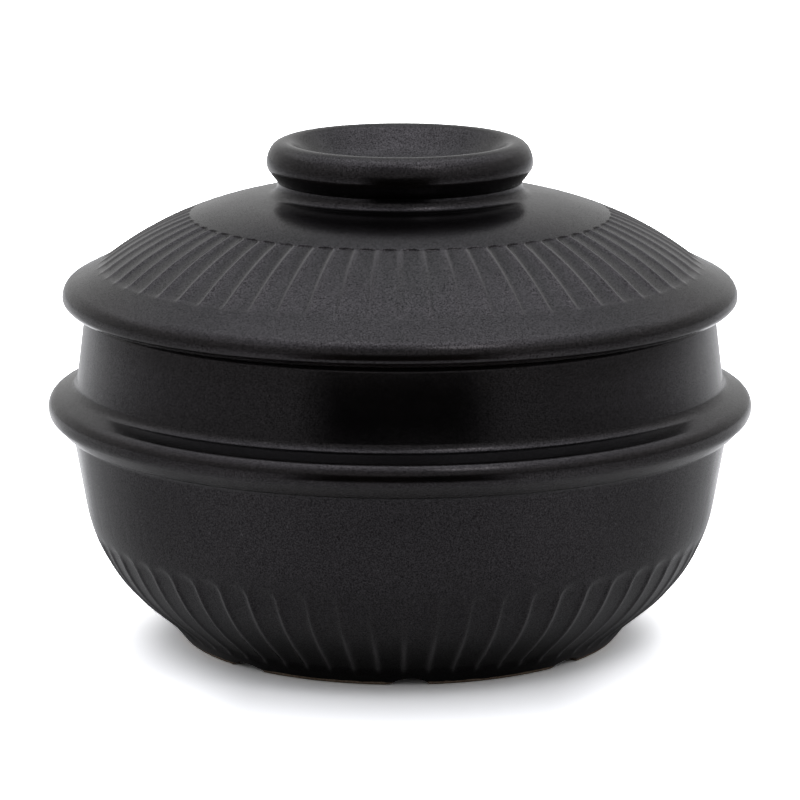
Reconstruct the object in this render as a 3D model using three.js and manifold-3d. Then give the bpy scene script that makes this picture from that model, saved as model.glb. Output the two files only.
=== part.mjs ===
// Lidded stoneware pot: a flanged, fluted bowl on a notched foot ring, and a fluted dome lid with
// a ring knob. Millimetres, +Z up. The origin is on the axis, in the plane the foot ring stands on.
import * as THREE from 'three';
import { mergeVertices } from 'three/addons/utils/BufferGeometryUtils.js';
import Module from 'manifold-3d';

const wasm = await Module();
wasm.setup();

// ---- Driving dimensions, all radii from the axis and heights from the table ----
const FLANGE_RADIUS = 90;
const FLANGE_BOTTOM = 54.4;
const RIM_HEIGHT = 85.3;
const RIM_RADIUS = 80.2;
const MOUTH_RADIUS = 74.6;
const FOOT_RADIUS = 56.2;
const FOOT_WIDTH = 9.2;
const FOOT_RECESS = 3.6;
const FLOOR_HEIGHT = 9.6;

const SEAT_GAP = 0.3;
const LID_RADIUS = 86;
const LID_HEIGHT = 127.2;
const SPIGOT_RADIUS = 72.8;
const SPIGOT_WIDTH = 6.6;
const SPIGOT_DEPTH = 5;
const KNOB_RADIUS = 33.9;
const NECK_RADIUS = 31.2;
const DISH_FLOOR = 118.4;

// Flutes: depth in the middle, the heights they run between, the run-out over which they fade at
// each end, and the angle in degrees from +X to the first ridge.
const BOWL_FLUTES = { count: 62, depth: 0.45, from: 3.5, to: 28.5, fade: 3, firstRidge: 3.7 };
const LID_FLUTES = { count: 64, depth: 0.45, from: 95.5, to: 109.2, fade: 1.6, firstRidge: 0 };
const NOTCH = { count: 8, width: 9.6, height: 1.9, firstAngle: 2.5 };

const FACETS = 56;
const ARC_STEP = THREE.MathUtils.degToRad(50);

// ---- Outlines ----

// Turns corners [radius, height, rounding, arcSteps] into points: each rounded corner becomes an arc
// tangent to both sides, in arcSteps steps where that is given.
function roundedOutline(corners) {
  const points = [];
  corners.forEach(([radius, height, rounding = 0, arcSteps = 0], index) => {
    const corner = new THREE.Vector2(radius, height);
    if (rounding === 0) {
      points.push(corner);
      return;
    }
    const before = new THREE.Vector2(...corners[index - 1]).sub(corner).normalize();
    const after = new THREE.Vector2(...corners[index + 1]).sub(corner).normalize();
    const halfAngle = Math.acos(before.dot(after)) / 2;
    const centre = before.clone().add(after).setLength(rounding / Math.sin(halfAngle)).add(corner);
    const start = before.clone().multiplyScalar(rounding / Math.tan(halfAngle)).add(corner).sub(centre);
    const turn = (Math.PI - 2 * halfAngle) * Math.sign(after.cross(before));
    const steps = arcSteps || Math.max(1, Math.ceil(Math.abs(turn) / ARC_STEP));
    for (let step = 0; step <= steps; step += 1) {
      const spoke = start.clone().rotateAround(new THREE.Vector2(), (turn * step) / steps);
      points.push(spoke.add(centre));
    }
  });
  return points;
}

const bowlOutline = roundedOutline([
  // underside: roof of the foot recess, then the foot ring
  [0, FOOT_RECESS],
  [FOOT_RADIUS - FOOT_WIDTH - 0.6, FOOT_RECESS, 1.4, 1],
  [FOOT_RADIUS - FOOT_WIDTH, 0, 0.7, 1],
  [FOOT_RADIUS, 0, 0.7, 1],
  // round belly up to the crease under the flange
  [59.9, 4.6, 8],
  [78.1, 19.8, 42, 6],
  [84.1, FLANGE_BOTTOM, 2.1, 2],
  // flange: narrow underside, bevel, rounded nose, sloping top with a tight fillet into the wall
  [86.2, FLANGE_BOTTOM, 0.4, 1],
  [FLANGE_RADIUS, 58.2, 3.2, 1],
  [FLANGE_RADIUS, 62.4, 3.4, 3],
  [82.8, 64.9, 2.9, 2],
  // wall and rounded rim
  [RIM_RADIUS, RIM_HEIGHT, 2.2],
  [MOUTH_RADIUS, RIM_HEIGHT, 2.2],
  // cavity
  [77.4, FLOOR_HEIGHT, 35, 5],
  [0, FLOOR_HEIGHT],
]);

const seatHeight = RIM_HEIGHT + SEAT_GAP;
const spigotBottom = seatHeight - SPIGOT_DEPTH;
const lidOutline = roundedOutline([
  // underside: hollow of the dome, locating ring, then the flat seat
  [0, 108.2],
  [47.4, 108.2, 68, 3],
  [SPIGOT_RADIUS - SPIGOT_WIDTH, 95.7, 3, 1],
  [SPIGOT_RADIUS - SPIGOT_WIDTH, spigotBottom, 1.5, 1],
  [SPIGOT_RADIUS, spigotBottom, 1.5, 1],
  [SPIGOT_RADIUS, seatHeight, 0.8, 1],
  [84.35, seatHeight, 0.6, 1],
  // rim: tight curve below, fuller curve above, then the brim
  [LID_RADIUS, 87.05, 2.2, 2],
  [LID_RADIUS, 90.75, 4.3, 2],
  [77.05, 95.3, 12, 1],
  // dome, neck and ring knob
  [56.6, 110.05, 84, 6],
  [NECK_RADIUS, 113.8, 3, 2],
  [NECK_RADIUS, 117],
  [KNOB_RADIUS, 120.5, 3.2],
  [KNOB_RADIUS, 123.6, 6.8, 1],
  [31.7, LID_HEIGHT, 4, 2],
  // dish inside the ring
  [27.7, LID_HEIGHT, 4, 2],
  [19, DISH_FLOOR, 16, 3],
  [0, DISH_FLOOR],
]);

// ---- Revolved surfaces ----

function fluteDepth(flutes, height) {
  const rise = (height - flutes.from) / flutes.fade;
  const fall = (flutes.to - height) / flutes.fade;
  return flutes.depth * THREE.MathUtils.clamp(Math.min(rise, fall), 0, 1);
}

// Unit normal of the outline at a point, out of the clay, as (radial, upward).
function outwardNormal(outline, index) {
  const along = outline[index + 1].clone().sub(outline[index - 1]).normalize();
  return new THREE.Vector2(along.y, -along.x);
}

// One ring of vertices round the axis. A fluted ring alternates ridge and channel, and a point on
// the axis is one vertex.
function makeRing(outline, index, flutes, positions) {
  const { x: radius, y: height } = outline[index];
  const ring = [];
  if (radius === 0) {
    ring.push({ angle: 0, vertex: positions.length / 3 });
    positions.push(0, 0, height);
    return ring;
  }
  const normal = outwardNormal(outline, index);
  const isOutside = normal.x > 0;
  const depth = isOutside ? fluteDepth(flutes, height) : 0;
  const count = depth > 0 ? 2 * flutes.count : FACETS;
  const firstAngle = depth > 0 ? THREE.MathUtils.degToRad(flutes.firstRidge) : 0;
  for (let step = 0; step < count; step += 1) {
    const angle = firstAngle + (2 * Math.PI * step) / count;
    const cut = depth > 0 && step % 2 === 1 ? depth : 0;
    const cutRadius = radius - cut * normal.x;
    ring.push({ angle, vertex: positions.length / 3 });
    positions.push(cutRadius * Math.cos(angle), cutRadius * Math.sin(angle), height - cut * normal.y);
  }
  return ring;
}

// Triangles between two rings, taking at each step the side whose next vertex comes first round the axis.
function stitch(lower, upper, triangles) {
  const at = (ring, step) => ring[step % ring.length].vertex;
  const next = (ring, step) => (step + 1 < ring.length ? ring[step + 1].angle : 2 * Math.PI);
  let low = 0;
  let high = 0;
  const lowSteps = lower.length > 1 ? lower.length : 0;
  const highSteps = upper.length > 1 ? upper.length : 0;
  while (low < lowSteps || high < highSteps) {
    const lowGoes = high >= highSteps || (low < lowSteps && next(lower, low) <= next(upper, high));
    if (lowGoes) {
      triangles.push(at(lower, low), at(lower, low + 1), at(upper, high));
      low += 1;
    } else {
      triangles.push(at(lower, low), at(upper, high + 1), at(upper, high));
      high += 1;
    }
  }
}

function revolve(outline, flutes) {
  const positions = [];
  const triangles = [];
  const rings = outline.map((point, index) => makeRing(outline, index, flutes, positions));
  for (let index = 0; index + 1 < rings.length; index += 1) {
    stitch(rings[index], rings[index + 1], triangles);
  }
  const geometry = new THREE.BufferGeometry();
  geometry.setAttribute('position', new THREE.Float32BufferAttribute(positions, 3));
  geometry.setIndex(triangles);
  return geometry;
}

// ---- Cuts ----

function toSolid(geometry) {
  const bare = geometry.clone();
  bare.deleteAttribute('normal');
  bare.deleteAttribute('uv');
  const merged = mergeVertices(bare);
  return new wasm.Manifold(new wasm.Mesh({
    numProp: 3,
    vertProperties: new Float32Array(merged.attributes.position.array),
    triVerts: new Uint32Array(merged.index.array),
  }));
}

function toGeometry(solid) {
  const mesh = solid.getMesh();
  const geometry = new THREE.BufferGeometry();
  geometry.setAttribute('position', new THREE.BufferAttribute(mesh.vertProperties, mesh.numProp));
  geometry.setIndex(new THREE.BufferAttribute(mesh.triVerts, 1));
  return geometry;
}

// A low arch that runs outwards along +X through the foot ring.
function notchCutter() {
  const clearance = 3;
  const arch = new THREE.Shape();
  arch.moveTo(-NOTCH.width / 2, -clearance);
  arch.lineTo(NOTCH.width / 2, -clearance);
  arch.lineTo(NOTCH.width / 2, 0);
  arch.quadraticCurveTo(NOTCH.width * 0.4, NOTCH.height, 0, NOTCH.height);
  arch.quadraticCurveTo(-NOTCH.width * 0.4, NOTCH.height, -NOTCH.width / 2, 0);
  const length = FOOT_WIDTH + 4 * clearance;
  const cutter = new THREE.ExtrudeGeometry(arch, { depth: length, curveSegments: 3, bevelEnabled: false });
  // the arch's plane is turned to face along +X, its own up staying up
  cutter.rotateX(Math.PI / 2);
  cutter.rotateZ(Math.PI / 2);
  cutter.translate(FOOT_RADIUS - FOOT_WIDTH - 2 * clearance, 0, 0);
  return cutter;
}

function makeBowl() {
  let solid = toSolid(revolve(bowlOutline, BOWL_FLUTES));
  for (let index = 0; index < NOTCH.count; index += 1) {
    const angle = THREE.MathUtils.degToRad(NOTCH.firstAngle + (360 * index) / NOTCH.count);
    solid = solid.subtract(toSolid(notchCutter().rotateZ(angle)));
  }
  return toGeometry(solid);
}

// ---- The two fired pieces ----

function piece(name, geometry, color) {
  const material = new THREE.MeshStandardMaterial({ color, roughness: 0.42, metalness: 0 });
  material.flatShading = true;
  const mesh = new THREE.Mesh(geometry, material);
  mesh.name = name;
  return mesh;
}

const pot = new THREE.Group();
pot.name = 'lidded_pot';
pot.add(piece('bowl', makeBowl(), 0x242325));
pot.add(piece('lid', revolve(lidOutline, LID_FLUTES), 0x29292c));

export default pot;
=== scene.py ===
"""A lidded stoneware pot: satin black glaze, fluted lid and belly, carrying flange, notched foot ring.

The bowl and the lid are each one revolved mesh. Flutes, foot notches and the slight unevenness of a
pressed and hand-finished pot are moved into the vertices, and per-vertex values tell the glaze where it
runs thin on edges and ridges, and where a painted sheen lightens the flute ridges. Outlines are in
millimetres, as [radius, height, rounding]; everything in Blender is in metres.
"""

import math

import bpy
import numpy as np
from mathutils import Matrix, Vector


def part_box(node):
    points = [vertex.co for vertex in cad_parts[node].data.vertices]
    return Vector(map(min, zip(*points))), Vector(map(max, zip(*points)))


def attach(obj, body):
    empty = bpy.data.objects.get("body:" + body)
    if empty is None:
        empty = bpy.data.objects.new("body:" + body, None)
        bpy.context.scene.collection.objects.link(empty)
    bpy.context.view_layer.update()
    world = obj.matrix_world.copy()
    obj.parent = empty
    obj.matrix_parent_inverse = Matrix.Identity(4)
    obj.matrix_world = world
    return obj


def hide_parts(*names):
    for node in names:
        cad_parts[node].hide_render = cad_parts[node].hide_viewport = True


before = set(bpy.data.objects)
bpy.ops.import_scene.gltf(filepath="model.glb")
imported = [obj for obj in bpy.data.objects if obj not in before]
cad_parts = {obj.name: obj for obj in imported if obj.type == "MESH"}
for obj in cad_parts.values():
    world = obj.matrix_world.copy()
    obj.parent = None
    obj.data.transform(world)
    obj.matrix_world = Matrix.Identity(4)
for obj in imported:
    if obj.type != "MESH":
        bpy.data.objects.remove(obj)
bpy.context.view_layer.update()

MM = 0.001
bowl_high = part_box("bowl")[1] / MM
lid_low, lid_high = (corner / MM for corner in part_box("lid"))

# ---- Driving dimensions, in millimetres: the ones that set the boxes come from the frame ----
FLANGE_RADIUS = bowl_high.x
RIM_HEIGHT = bowl_high.z
LID_RADIUS = lid_high.x
LID_HEIGHT = lid_high.z
SPIGOT_BOTTOM = lid_low.z

RIM_RADIUS = 80.2
MOUTH_RADIUS = 74.6
FLANGE_BOTTOM = 54.4
FOOT_RADIUS = 56.2
FOOT_WIDTH = 9.2
FOOT_RECESS = 3.6
FLOOR_HEIGHT = 9.6
SEAT_GAP = 0.3
SEAT_HEIGHT = RIM_HEIGHT + SEAT_GAP
SPIGOT_RADIUS = 72.8
SPIGOT_WIDTH = 6.6
KNOB_RADIUS = 33.9
NECK_RADIUS = 31.2
DISH_FLOOR = 118.4

UNEVENNESS = 0.1
FLUTE_WOBBLE = 0.12
NOTCH = {"count": 8, "width": 9.6, "height": 1.9, "first_angle": 2.5}

# Flutes: lengths in millimetres, the first ridge in degrees from the front. A flute is a shallow channel
# between the heights "from" and "to". The ridge left between two flutes is a rounded bead, and "bead" is
# its half-width. The upper end of a flute is an arch that rises by "arch" and is cut in over "end_flank";
# its lower end runs out over "run_out".
BOWL_FLUTES = {"count": 62, "depth": 0.45, "from": 2.6, "to": 30.0, "first_ridge": 0.8,
               "bead": 0.85, "arch": 4.0, "end_flank": 4.0, "run_out": 3.0}
LID_FLUTES = {"count": 64, "depth": 0.45, "from": 95.2, "to": 108.75, "first_ridge": 0.0,
              "bead": 0.85, "arch": 1.3, "end_flank": 0.5, "run_out": 2.2}

bowl_corners = [
    # underside: roof of the foot recess, then the foot ring
    [0, FOOT_RECESS],
    [FOOT_RADIUS - FOOT_WIDTH - 0.6, FOOT_RECESS, 1.4],
    [FOOT_RADIUS - FOOT_WIDTH, 0, 0.7],
    [FOOT_RADIUS, 0, 0.7],
    # round belly up to the crease under the flange
    [59.9, 4.6, 8],
    [78.1, 19.8, 42],
    [84.1, FLANGE_BOTTOM, 2.1],
    # flange: narrow underside, bevel, rounded nose, sloping top with a tight fillet into the wall
    [86.2, FLANGE_BOTTOM, 0.4],
    [FLANGE_RADIUS, 58.2, 3.2],
    [FLANGE_RADIUS, 62.4, 3.4],
    [82.8, 64.9, 2.9],
    # wall and rounded rim
    [RIM_RADIUS, RIM_HEIGHT, 2.2],
    [MOUTH_RADIUS, RIM_HEIGHT, 2.2],
    # cavity
    [77.4, FLOOR_HEIGHT, 35],
    [0, FLOOR_HEIGHT],
]

lid_corners = [
    # underside: hollow of the dome, locating ring, then the flat seat
    [0, 108.2],
    [47.4, 108.2, 68],
    [SPIGOT_RADIUS - SPIGOT_WIDTH, 95.7, 3],
    [SPIGOT_RADIUS - SPIGOT_WIDTH, SPIGOT_BOTTOM, 1.5],
    [SPIGOT_RADIUS, SPIGOT_BOTTOM, 1.5],
    [SPIGOT_RADIUS, SEAT_HEIGHT, 0.8],
    [84.35, SEAT_HEIGHT, 0.6],
    # rim: tight curve below, fuller curve above, then the brim
    [LID_RADIUS, 87.05, 2.2],
    [LID_RADIUS, 90.75, 4.3],
    [77.05, 95.3, 12],
    # dome, neck and ring knob
    [56.6, 110.05, 84],
    [NECK_RADIUS, 113.8, 3],
    [NECK_RADIUS, 117, 0.5],
    [KNOB_RADIUS, 120.5, 3.2],
    [KNOB_RADIUS, 123.6, 6.8],
    [31.7, LID_HEIGHT, 4],
    # dish inside the ring
    [27.7, LID_HEIGHT, 4],
    [19, DISH_FLOOR, 16],
    [0, DISH_FLOOR],
]


# ---- Outlines ----

# The longest step along a rounding, as an angle and in millimetres. Then the longest steps elsewhere, in
# millimetres: on plain stretches, along the flutes and up the foot's notches. The upper end of a flute is
# cut in over END_STEPS steps.
ARC_ANGLE = math.radians(12)
ARC_LENGTH = 3.0
PLAIN_STEP = 6.5
FLUTE_STEP = 2.1
NOTCH_STEP = 0.45
END_STEPS = 5


def rounded_outline(corners):
    """Points of the outline: each corner with a rounding becomes an arc tangent to both its sides."""
    points = []
    for index, (radius, height, *rounding) in enumerate(corners):
        corner = np.array([radius, height], float)
        if not rounding:
            points.append(corner)
            continue
        before = np.array(corners[index - 1][:2], float) - corner
        after = np.array(corners[index + 1][:2], float) - corner
        before /= np.linalg.norm(before)
        after /= np.linalg.norm(after)
        half = math.acos(before @ after) / 2
        middle = (before + after) / np.linalg.norm(before + after)
        centre = corner + middle * rounding[0] / math.sin(half)
        spoke = corner + before * rounding[0] / math.tan(half) - centre
        turn = (math.pi - 2 * half) * np.sign(after[0] * before[1] - after[1] * before[0])
        longest_turn = min(ARC_ANGLE, ARC_LENGTH / rounding[0])
        steps = max(2, math.ceil(abs(turn) / longest_turn))
        for angle in np.linspace(0, turn, steps + 1):
            cos, sin = math.cos(angle), math.sin(angle)
            turned = [cos * spoke[0] - sin * spoke[1], sin * spoke[0] + cos * spoke[1]]
            points.append(centre + turned)
    return np.array(points)


def refine(points, longest):
    """The outline with its long stretches cut into pieces no longer than longest(start, end)."""
    fine = [points[0]]
    for start, end in zip(points[:-1], points[1:]):
        length = np.linalg.norm(end - start)
        pieces = max(1, math.ceil(length / longest(start, end)))
        fine.extend(start + (end - start) * step / pieces for step in range(1, pieces + 1))
    return np.array(fine)


def outline_normals(points):
    """Unit normals out of the clay, as (radial, upward)."""
    along = np.gradient(points, axis=0)
    along /= np.linalg.norm(along, axis=1)[:, None]
    return np.stack([along[:, 1], -along[:, 0]], 1)


# ---- Relief ----

def smooth_step(value):
    value = np.clip(value, 0, 1)
    return value * value * (3 - 2 * value)


def flute_angles(flutes):
    """Angles round the axis, with most of their steps on the ridges."""
    half = [0, 0.04, 0.085, 0.14, 0.24]
    places = np.array(half + [0.5] + [1 - place for place in half[:0:-1]])
    turns = (np.arange(flutes["count"])[:, None] + places[None, :]).ravel() / flutes["count"]
    return 2 * math.pi * turns + math.radians(flutes["first_ridge"] - 90)


def flute_places(flutes, angles):
    """For each angle, the number of its flute and how far it is from the flute's middle: 0 to 1."""
    turn = (angles - math.radians(flutes["first_ridge"] - 90)) * flutes["count"] / (2 * math.pi) + 1e-9
    return np.floor(turn).astype(int) % flutes["count"], np.abs(2 * (turn % 1) - 1)


def flute_span(flutes, lengths, points, normals):
    """Where along the outline the flutes start and end."""
    height, outside = points[:, 1], normals[:, 0] > 0.01
    fluted = outside & (height > flutes["from"]) & (height < flutes["to"])
    return lengths[fluted].min(), lengths[fluted].max()


def arch_drop(flutes, angles, lengths, top):
    """How far each vertex is pulled down the outline, so that rings near the top follow the arches."""
    off_middle = np.minimum(flute_places(flutes, angles)[1], 0.98)
    arch = flutes["arch"] * (1 - np.sqrt(1 - off_middle ** 2))
    reach = 3 * flutes["arch"]
    near = 1 - smooth_step((np.abs(lengths - top) - flutes["end_flank"]) / reach)
    return near[:, None] * arch[None, :]


def flute_depth(flutes, angles, lengths, radii, span, wobble):
    """How deep each vertex lies below the plain revolved surface: rings by angles, in millimetres.

    wobble holds each flute's own small change of depth.
    """
    number, off_middle = flute_places(flutes, angles)
    from_ridge = (1 - off_middle) * math.pi / flutes["count"] * radii
    scoop = 0.9 + 0.1 * (1 - off_middle ** 2)
    across = scoop * (1 - np.exp(-(from_ridge / flutes["bead"]) ** 2))
    end = smooth_step((span[1] - lengths) / flutes["end_flank"])
    run_out = smooth_step((lengths - span[0]) / flutes["run_out"])
    return flutes["depth"] * wobble[number][None, :] * across * (end * run_out)[:, None]


def notch_roof(angles, radius):
    """Height of the foot notches' roof at each angle, in millimetres: 0 between the notches."""
    pitch = 2 * math.pi / NOTCH["count"]
    turn = (angles - math.radians(NOTCH["first_angle"] - 90) + pitch / 2) % pitch - pitch / 2
    across = np.abs(turn) * radius / (NOTCH["width"] / 2)
    return NOTCH["height"] * np.clip(1 - across ** 2.6, 0, 1) ** 0.8


def waviness(angles, heights, seed):
    """Low, broad unevenness of a pressed pot: 0 to -UNEVENNESS, in slow waves round it and up it."""
    random = np.random.default_rng(seed)
    lobes = (2, 3, 5, 7)
    total = 0
    for count in lobes:
        phase, tilt = random.uniform(0, 2 * math.pi), random.uniform(-0.06, 0.06)
        total = total + np.sin(count * angles + phase + tilt * heights) / count
    highest = sum(1 / count for count in lobes)
    return UNEVENNESS * (total / highest - 1) / 2


# ---- Revolved pieces ----

def revolve(name, angles, radius, height):
    """A closed mesh from arrays of radius and height, rings by angles, on the axis at both ends."""
    rings, count = len(radius) - 2, len(angles)
    inner = np.stack([radius * np.cos(angles), radius * np.sin(angles), height], 2)[1:-1]
    first_end, last_end = [0, 0, height[0].mean()], [0, 0, height[-1].mean()]
    vertices = np.vstack([first_end, inner.reshape(-1, 3), last_end]) * MM
    step = np.arange(count)
    following = (step + 1) % count
    quads = []
    for ring in range(rings - 1):
        low, high = 1 + ring * count, 1 + (ring + 1) * count
        quads.append(np.stack([low + step, low + following, high + following, high + step], 1))
    last = 1 + (rings - 1) * count
    first_fan = np.stack([1 + following, 1 + step, 0 * step], 1)
    last_fan = np.stack([last + step, last + following, 0 * step + len(vertices) - 1], 1)
    mesh = bpy.data.meshes.new(name)
    faces = np.vstack(quads).tolist() + first_fan.tolist() + last_fan.tolist()
    mesh.from_pydata(vertices.tolist(), [], faces)
    mesh.polygons.foreach_set("use_smooth", [True] * len(mesh.polygons))
    mesh.update()
    piece = bpy.data.objects.new(name, mesh)
    bpy.context.scene.collection.objects.link(piece)
    return piece


def paint(piece, name, ring_values):
    """A per-vertex value for the materials, from an array of rings by angles."""
    body = ring_values[1:-1].ravel()
    values = np.concatenate([[ring_values[0].mean()], body, [ring_values[-1].mean()]])
    attribute = piece.data.attributes.new(name, "FLOAT", "POINT")
    attribute.data.foreach_set("value", values.astype(np.float32))


def outline_curvature(points, lengths):
    """How sharply the outline turns outward: 0 on flats and hollows, 1 on tight rounded edges."""
    edge_gain = 2.2
    along = np.diff(points, axis=0)
    heading = np.unwrap(np.arctan2(along[:, 1], along[:, 0]))
    turn = np.zeros(len(points))
    turn[1:-1] = np.diff(heading) / ((lengths[2:] - lengths[:-2]) / 2)
    smooth = np.convolve(turn, np.ones(5) / 5, "same")
    return np.clip(smooth * edge_gain, 0, 1)


def make_piece(name, corners, flutes, seed, notched):
    """One revolved piece with its flutes, its notches if notched, and slightly uneven walls."""
    def longest(start, end):
        """The longest step allowed between two points of the outline."""
        height, rise = (start[1] + end[1]) / 2, end[1] - start[1]
        if notched and 0.05 < height < NOTCH["height"] + 0.5 and abs(rise) > 0.1:
            return NOTCH_STEP
        if rise <= 0 or start[0] <= NECK_RADIUS:
            return PLAIN_STEP
        flank = 1.2 * flutes["end_flank"] * rise / np.linalg.norm(end - start)
        if -flank < height - flutes["to"] < 0.1:
            return flutes["end_flank"] / END_STEPS
        if flutes["from"] < height < flutes["to"] + flutes["arch"]:
            return FLUTE_STEP
        return PLAIN_STEP

    # twice, so that only the parts of a long stretch that need it are cut finely
    points = refine(refine(rounded_outline(corners), longest), longest)
    lengths = np.concatenate([[0], np.cumsum(np.linalg.norm(np.diff(points, axis=0), axis=1))])
    normals = outline_normals(points)
    angles = flute_angles(flutes)
    span = flute_span(flutes, lengths, points, normals)

    place = lengths[:, None] - arch_drop(flutes, angles, lengths, span[1])
    radius, height = (np.interp(place, lengths, points[:, axis]) for axis in (0, 1))
    outward, upward = (np.interp(place, lengths, normals[:, axis]) for axis in (0, 1))

    random = np.random.default_rng(seed)
    wobble = random.uniform(1 - FLUTE_WOBBLE, 1 + FLUTE_WOBBLE, flutes["count"])
    cut = flute_depth(flutes, angles, lengths, radius, span, wobble)
    outside = smooth_step((outward - 0.1) / 0.3)
    move = waviness(angles, height, seed + 1) * outside - cut
    radius = radius + move * outward
    height = height + move * upward
    if notched:
        roof = notch_roof(angles, FOOT_RADIUS)[None, :]
        on_foot = (points[:, 0] > FOOT_RADIUS - FOOT_WIDTH - 3)[:, None]
        height = np.where(on_foot, np.maximum(height, roof), height)
    piece = revolve(name, angles, radius, height)
    in_band = smooth_step(cut.max(axis=1) / (0.6 * flutes["depth"]))[:, None]
    ridge = (1 - np.clip(cut / flutes["depth"], 0, 1)) * in_band
    paint(piece, "edge", np.maximum(outline_curvature(points, lengths)[:, None], 0.5 * ridge))
    paint(piece, "ridge", ridge)
    return piece


# ---- Node helpers ----

def new_tree(owner):
    owner.use_nodes = True
    owner.node_tree.nodes.clear()
    return owner.node_tree


def add(tree, kind, **values):
    """A node with its inputs set by name, or by number as i0, i1. A node output is linked, and anything
    else is a value."""
    node = tree.nodes.new(kind)
    for key, value in values.items():
        name = key.replace("_", " ")
        if hasattr(node, key) and name not in node.inputs:
            setattr(node, key, value)
            continue
        by_number = key[0] == "i" and key[1:].isdigit()
        socket = node.inputs[int(key[1:])] if by_number else node.inputs[name]
        if isinstance(value, bpy.types.NodeSocket):
            tree.links.new(value, socket)
        else:
            socket.default_value = value
    return node


def math_node(tree, operation, first, second=0.0):
    return add(tree, "ShaderNodeMath", operation=operation, i0=first, i1=second).outputs[0]


def remap(tree, value, low, high, to_low=0.0, to_high=1.0):
    """A smooth step from to_low where value is low to to_high where it is high."""
    node = add(tree, "ShaderNodeMapRange", interpolation_type="SMOOTHSTEP", Value=value,
               From_Min=low, From_Max=high, To_Min=to_low, To_Max=to_high)
    return node.outputs["Result"]


def mix_value(tree, share, first, second):
    return add(tree, "ShaderNodeMix", i0=share, i2=first, i3=second).outputs[0]


def mix_color(tree, share, first, second):
    node = tree.nodes.new("ShaderNodeMix")
    node.data_type = "RGBA"
    inputs = (node.inputs[0], share), (node.inputs[6], first), (node.inputs[7], second)
    for socket, value in inputs:
        if isinstance(value, bpy.types.NodeSocket):
            tree.links.new(value, socket)
        else:
            socket.default_value = value
    return node.outputs[2]


def noise(tree, position, size_mm, detail=2.0, roughness=0.5):
    """Noise whose features are about size_mm across."""
    node = add(tree, "ShaderNodeTexNoise", Vector=position, Scale=1 / (size_mm * MM), Detail=detail,
               Roughness=roughness)
    return node.outputs["Fac"]


# ---- Materials ----

BLACK_GLAZE = (0.0009, 0.0008, 0.0009, 1)
THIN_GLAZE = (0.0060, 0.0046, 0.0038, 1)
# Painted highlight: the lighter colour given to the flute ridges where they are seen at grazing angles.
PAINTED_RIDGE_SHEEN = (0.0340, 0.0325, 0.0335, 1)
BARE_CLAY = (0.30, 0.225, 0.16, 1)
BARE_CLAY_DARK = (0.17, 0.12, 0.085, 1)
GLAZE_IOR = 1.36
GLAZE_TINT = (1.0, 0.935, 0.985, 1)
RAGGED_EDGE = 0.9


def glaze_material(name, grain_spread, bare_height=None):
    """Satin black glaze, finely grained and flecked, with a painted sheen on the flute ridges: where they
    are seen at grazing angles, their colour is lightened and their shine raised.

    grain_spread is how much the grain varies the shine. Below bare_height, in millimetres, the foot is
    wiped clay with a ragged edge.
    """
    material = bpy.data.materials.new(name)
    tree = new_tree(material)
    position = add(tree, "ShaderNodeTexCoord").outputs["Object"]
    edge = add(tree, "ShaderNodeAttribute", attribute_name="edge").outputs["Fac"]
    ridge = add(tree, "ShaderNodeAttribute", attribute_name="ridge").outputs["Fac"]
    grain = noise(tree, position, 0.36, 2.0, 0.7)
    flecks = noise(tree, position, 0.8, 1.0)
    clouds = noise(tree, position, 16, 4.0, 0.6)
    peel = noise(tree, position, 3.2, 1.5)

    fleck = remap(tree, flecks, 0.70, 0.76)
    thin = math_node(tree, "MULTIPLY", edge, remap(tree, clouds, 0.3, 0.7, 0.25, 0.8))
    color = mix_color(tree, thin, BLACK_GLAZE, THIN_GLAZE)
    roughness = remap(tree, clouds, 0.3, 0.7, 0.19, 0.225)
    shine = remap(tree, grain, 0.25, 0.75, 0.5 - grain_spread, 0.5 + grain_spread)
    # Painted sheen: on the flute ridges seen at grazing angles, the shine is raised and the colour
    # lightened.
    turned_away = add(tree, "ShaderNodeLayerWeight", Blend=0.5).outputs["Facing"]
    crest = math_node(tree, "MULTIPLY", ridge, ridge)
    sheen = math_node(tree, "MULTIPLY", crest, remap(tree, turned_away, 0.36, 0.62, 0, 0.8))
    shine = math_node(tree, "ADD", shine, sheen)
    color = mix_color(tree, sheen, color, PAINTED_RIDGE_SHEEN)
    shine = math_node(tree, "ADD", shine, math_node(tree, "MULTIPLY", fleck, 0.35))

    fine = add(tree, "ShaderNodeBump", Strength=0.6, Distance=0.02 * MM, Height=grain)
    bump = add(tree, "ShaderNodeBump", Strength=0.4, Distance=0.05 * MM, Height=peel,
               Normal=fine.outputs[0])
    glaze = add(tree, "ShaderNodeBsdfPrincipled", Base_Color=color, Roughness=roughness, IOR=GLAZE_IOR,
                Specular_IOR_Level=shine, Specular_Tint=GLAZE_TINT, Normal=bump.outputs[0])
    shader = glaze.outputs[0]

    if bare_height is not None:
        height = add(tree, "ShaderNodeSeparateXYZ", Vector=position).outputs["Z"]
        ragged = math_node(tree, "MULTIPLY", noise(tree, position, 5, 3.0), RAGGED_EDGE * MM)
        line = math_node(tree, "ADD", height, ragged)
        full_clay = bare_height + RAGGED_EDGE / 2
        bare = remap(tree, line, (full_clay + 0.17) * MM, full_clay * MM)
        clay_grain = noise(tree, position, 0.6, 4.0, 0.7)
        clay_color = mix_color(tree, remap(tree, clay_grain, 0.35, 0.65), BARE_CLAY_DARK, BARE_CLAY)
        clay_bump = add(tree, "ShaderNodeBump", Strength=0.8, Distance=0.2 * MM, Height=clay_grain)
        clay = add(tree, "ShaderNodeBsdfPrincipled", Base_Color=clay_color, Roughness=0.9, IOR=1.45,
                   Normal=clay_bump.outputs[0])
        both = add(tree, "ShaderNodeMixShader", i0=bare, i1=glaze.outputs[0], i2=clay.outputs[0])
        shader = both.outputs[0]
    add(tree, "ShaderNodeOutputMaterial", Surface=shader)
    return material
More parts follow.
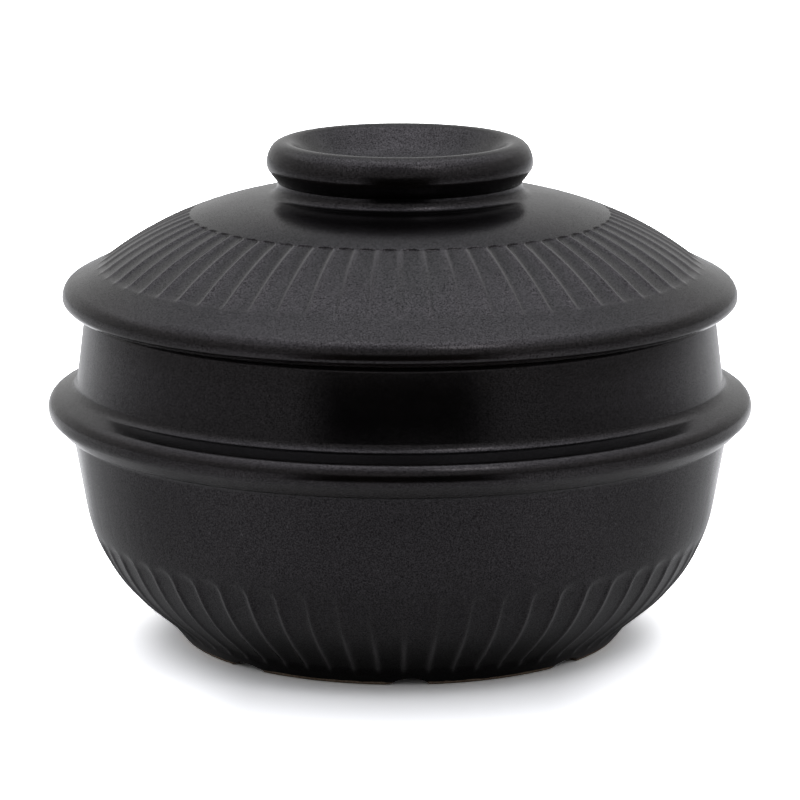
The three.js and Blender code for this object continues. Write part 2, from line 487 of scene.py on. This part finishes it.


# ---- Studio ----

# How bright the table is painted, as painted light and shade in its colour: in reflections in front of
# the pot, at its sides, behind it and far from it, and where the camera sees it directly.
FLOOR_FRONT = 0.70
FLOOR_SIDE = 0.38
FLOOR_BACK = 0.95
FLOOR_FAR = 0.48
FLOOR_SEEN = 1.4

# What lights the pot from the world: the brightness behind it and in front of it, how much the sky low at
# the sides and at the right is dimmed, and what the panels at the sides and the two overhead add.
SKY_BEHIND = 0.8
SKY_FRONT = 0.72
LOW_DIMMING = 0.14
SIDE_PANELS = 0.7
OVERHEAD_WIDE = 1.2
OVERHEAD_NARROW = 0.8
SKY_WHITE = (0.80, 0.80, 0.80, 1)
SKY_COOL = (0.79, 0.80, 0.84, 1)

# The camera stands in front of the pot. Its dark reflection is a wedge that starts at this "facing", the
# cosine of the angle from straight ahead.
WEDGE_EDGE = 0.80, 0.93

# In metres, and the angle in radians.
CAMERA_DISTANCE = 1.05
CAMERA_HEIGHT = 0.2845
CAMERA_PITCH = 0.2108


def floor():
    """A plain white table top. The camera sees it overexposed, as in a cut-out product picture, and
    painted
    brighter at the left and right of the pot. In reflections its colour carries painted light and shade:
    darker at the sides of the pot and far from it, brighter in front of and behind it, a painted shadow
    near the foot, and a dark wedge of painted shade that opens towards the camera."""
    half = 4.0
    corners = [(-half, -half, 0), (half, -half, 0), (half, half, 0), (-half, half, 0)]
    mesh = bpy.data.meshes.new("floor")
    mesh.from_pydata(corners, [], [(0, 1, 2, 3)])
    plane = bpy.data.objects.new("floor", mesh)
    plane.location.z = -0.1 * MM
    bpy.context.scene.collection.objects.link(plane)
    material = bpy.data.materials.new("floor_white")
    tree = new_tree(material)
    position = add(tree, "ShaderNodeTexCoord").outputs["Object"]
    distance = add(tree, "ShaderNodeVectorMath", operation="LENGTH", i0=position).outputs["Value"]
    axes = add(tree, "ShaderNodeSeparateXYZ", Vector=position)
    facing = math_node(tree, "DIVIDE", math_node(tree, "MULTIPLY", axes.outputs["Y"], -1.0), distance)
    # Painted shade: a dark wedge in the table's reflected colour in front of the pot, where the camera
    # stands.
    ahead = remap(tree, facing, *WEDGE_EDGE)
    wedge = math_node(tree, "MULTIPLY", ahead, remap(tree, distance, 0.16, 0.20))
    # Painted light and shade in reflections: the table's colour is darker at the sides of the pot,
    # brighter in front and behind, and dimmer far away.
    reflected = remap(tree, facing, 0.15, 0.85, FLOOR_SIDE, FLOOR_FRONT)
    behind = remap(tree, facing, -0.50, -0.85, 0, FLOOR_BACK - FLOOR_SIDE)
    reflected = math_node(tree, "ADD", reflected, behind)
    # Painted shadow: near the foot the table's colour is painted darker, most of all in front of the pot.
    foot_shadow_level = remap(tree, facing, 0.55, 0.85, 0.75, 0.3)
    painted_foot_shadow = mix_value(tree, remap(tree, distance, 0.056, 0.080), foot_shadow_level, 1.0)
    reflected = math_node(tree, "MULTIPLY", reflected, painted_foot_shadow)
    reflected = mix_value(tree, remap(tree, distance, 0.2, 0.5), reflected, FLOOR_FAR)
    reflected = math_node(tree, "MULTIPLY", reflected, math_node(tree, "SUBTRACT", 1.0, wedge))
    # Painted light: the camera sees the table painted brighter left and right of the pot than in the
    # middle.
    off_axis = math_node(tree, "ABSOLUTE", axes.outputs["X"])
    direct = remap(tree, off_axis, 0.035, 0.06, FLOOR_SEEN, 1.4 * FLOOR_SEEN)
    seen = add(tree, "ShaderNodeLightPath").outputs["Is Camera Ray"]
    brightness = mix_value(tree, seen, reflected, direct)
    surface = add(tree, "ShaderNodeBsdfDiffuse", Color=brightness)
    add(tree, "ShaderNodeOutputMaterial", Surface=surface.outputs[0])
    mesh.materials.append(material)


def studio_world():
    """White for the camera. For light and reflections: a white surround that is dim low at the sides,
    bright overhead, and has a dark gap low in front, where the camera stands."""
    world = bpy.data.worlds.new("studio")
    bpy.context.scene.world = world
    tree = new_tree(world)
    direction = add(tree, "ShaderNodeTexCoord").outputs["Generated"]
    axes = add(tree, "ShaderNodeSeparateXYZ", Vector=direction)
    x, y, z = axes.outputs
    squares = math_node(tree, "ADD", math_node(tree, "MULTIPLY", x, x), math_node(tree, "MULTIPLY", y, y))
    across = math_node(tree, "POWER", squares, 0.5)
    facing = math_node(tree, "DIVIDE", math_node(tree, "MULTIPLY", y, -1.0), across)
    rightward = math_node(tree, "DIVIDE", x, across)
    low = remap(tree, z, 0.30, 0.02)
    overhead = math_node(tree, "ADD", remap(tree, z, 0.70, 0.96, 0, OVERHEAD_WIDE),
                         remap(tree, z, 0.95, 1.0, 0, OVERHEAD_NARROW))
    at_sides = remap(tree, math_node(tree, "ABSOLUTE", rightward), 0.3, 0.75)
    panels = math_node(tree, "MULTIPLY", at_sides, remap(tree, z, 0.35, 0.62, 0, SIDE_PANELS))
    surround = remap(tree, facing, -0.95, -0.5, SKY_BEHIND, SKY_FRONT)
    dim_side = math_node(tree, "MULTIPLY", low, remap(tree, facing, -0.9, -0.3, 0, LOW_DIMMING))
    dim_right = math_node(tree, "MULTIPLY", low, remap(tree, rightward, 0.2, 0.6, 0, LOW_DIMMING))
    light = math_node(tree, "ADD", math_node(tree, "ADD", surround, panels), overhead)
    light = math_node(tree, "SUBTRACT", light, math_node(tree, "ADD", dim_side, dim_right))
    gap = math_node(tree, "MULTIPLY", remap(tree, facing, *WEDGE_EDGE), remap(tree, z, 0.24, 0.15))
    light = math_node(tree, "MULTIPLY", light, math_node(tree, "SUBTRACT", 1.0, gap))
    tint = mix_color(tree, remap(tree, z, 0.4, 0.8), SKY_WHITE, SKY_COOL)
    lit = add(tree, "ShaderNodeBackground", Color=tint, Strength=light)
    white = add(tree, "ShaderNodeBackground", Color=(1, 1, 1, 1), Strength=1.02)
    seen = add(tree, "ShaderNodeLightPath").outputs["Is Camera Ray"]
    mixed = add(tree, "ShaderNodeMixShader", i0=seen, i1=lit.outputs[0], i2=white.outputs[0])
    add(tree, "ShaderNodeOutputWorld", Surface=mixed.outputs[0])


def soft_box(name, location, target, size, radiance, in_reflections=True):
    """A rectangular area light facing target. radiance is how bright its face is, with white at 1."""
    light = bpy.data.lights.new(name, "AREA")
    light.shape = "RECTANGLE"
    light.size, light.size_y = size
    light.energy = radiance * math.pi * size[0] * size[1]
    lamp = bpy.data.objects.new(name, light)
    lamp.location = location
    toward = lamp.location.copy()
    toward.x, toward.y, toward.z = (target[i] - location[i] for i in range(3))
    lamp.rotation_mode = "QUATERNION"
    lamp.rotation_quaternion = toward.to_track_quat("-Z", "Y")
    lamp.visible_camera = False
    lamp.visible_glossy = in_reflections
    bpy.context.scene.collection.objects.link(lamp)


def camera():
    """A long lens in front of the pot, looking a little down at it."""
    data = bpy.data.cameras.new("camera")
    data.sensor_width = 36
    data.lens = 188.3
    eye = bpy.data.objects.new("camera", data)
    eye.location = (0, -CAMERA_DISTANCE, CAMERA_HEIGHT)
    eye.rotation_euler = (math.pi / 2 - CAMERA_PITCH, 0, 0)
    bpy.context.scene.collection.objects.link(eye)
    bpy.context.scene.camera = eye


# ---- The pot ----

bowl = make_piece("stoneware_bowl", bowl_corners, BOWL_FLUTES, 11, notched=True)
lid = make_piece("stoneware_lid", lid_corners, LID_FLUTES, 23, notched=False)
bowl.data.materials.append(glaze_material("bowl_glaze_and_foot", 0.35, bare_height=0.75))
lid.data.materials.append(glaze_material("lid_glaze", 0.42))
for piece, node in ((bowl, "bowl"), (lid, "lid")):
    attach(piece, node)
    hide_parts(node)

floor()
studio_world()
soft_box("key_right", (0.4, -0.7, 1.15), (0, 0, 0.06), (0.4, 0.4), 2.5)
soft_box("back_light", (0, 0.9, 0.7), (0, 0, 0), (1.2, 0.5), 5.0, in_reflections=False)
camera()
bpy.context.scene.view_settings.view_transform = "Standard"
